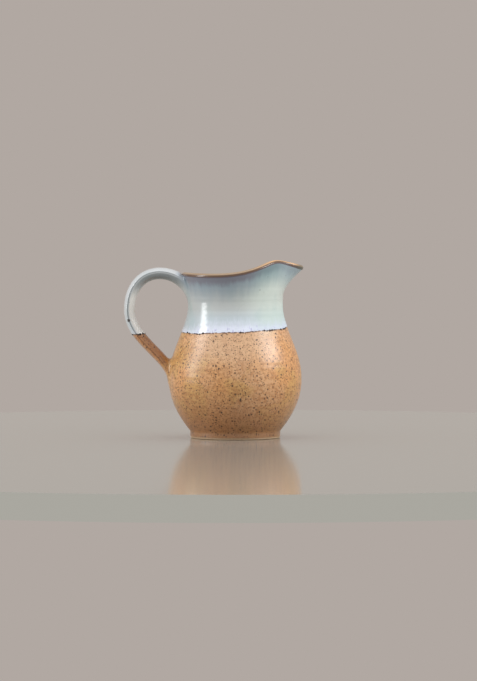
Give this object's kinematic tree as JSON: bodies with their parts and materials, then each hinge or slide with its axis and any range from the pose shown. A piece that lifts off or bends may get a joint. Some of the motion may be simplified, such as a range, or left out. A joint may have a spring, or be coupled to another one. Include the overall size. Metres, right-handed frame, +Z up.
{
  "type": "stoneware jug",
  "caption": "Round-bellied stoneware table jug with a pulled pouring spout, an arched strap handle and two-tone glaze over a speckled body.",
  "frame": {"origin": "on the jug's axis, at the plane that its foot stands on", "axes": "+Z up along the jug's axis, +X out of the spout, -X towards the handle"},
  "size_m": [0.1674, 0.1236, 0.1654],
  "materials": {
    "stoneware_clay": "bare fired stoneware, fine grained",
    "slip": "dried and fired joining slip",
    "speckled_glaze": "satin, with iron speckles",
    "pale_glaze": "glossy, streaked where it ran",
    "rim_glaze": "glossy, broken to brown over the edge",
    "liner_glaze": "glossy"
  },
  "bodies": {
    "root": {"body": "stoneware_clay", "handle": "stoneware_clay", "upper_slip": "slip", "lower_slip": "slip", "belly_glaze": "speckled_glaze", "neck_glaze": "pale_glaze", "lip_glaze": "rim_glaze", "liner_glaze": "liner_glaze", "handle_neck_glaze": "pale_glaze", "handle_belly_glaze": "speckled_glaze"}
  },
  "joints": []
}
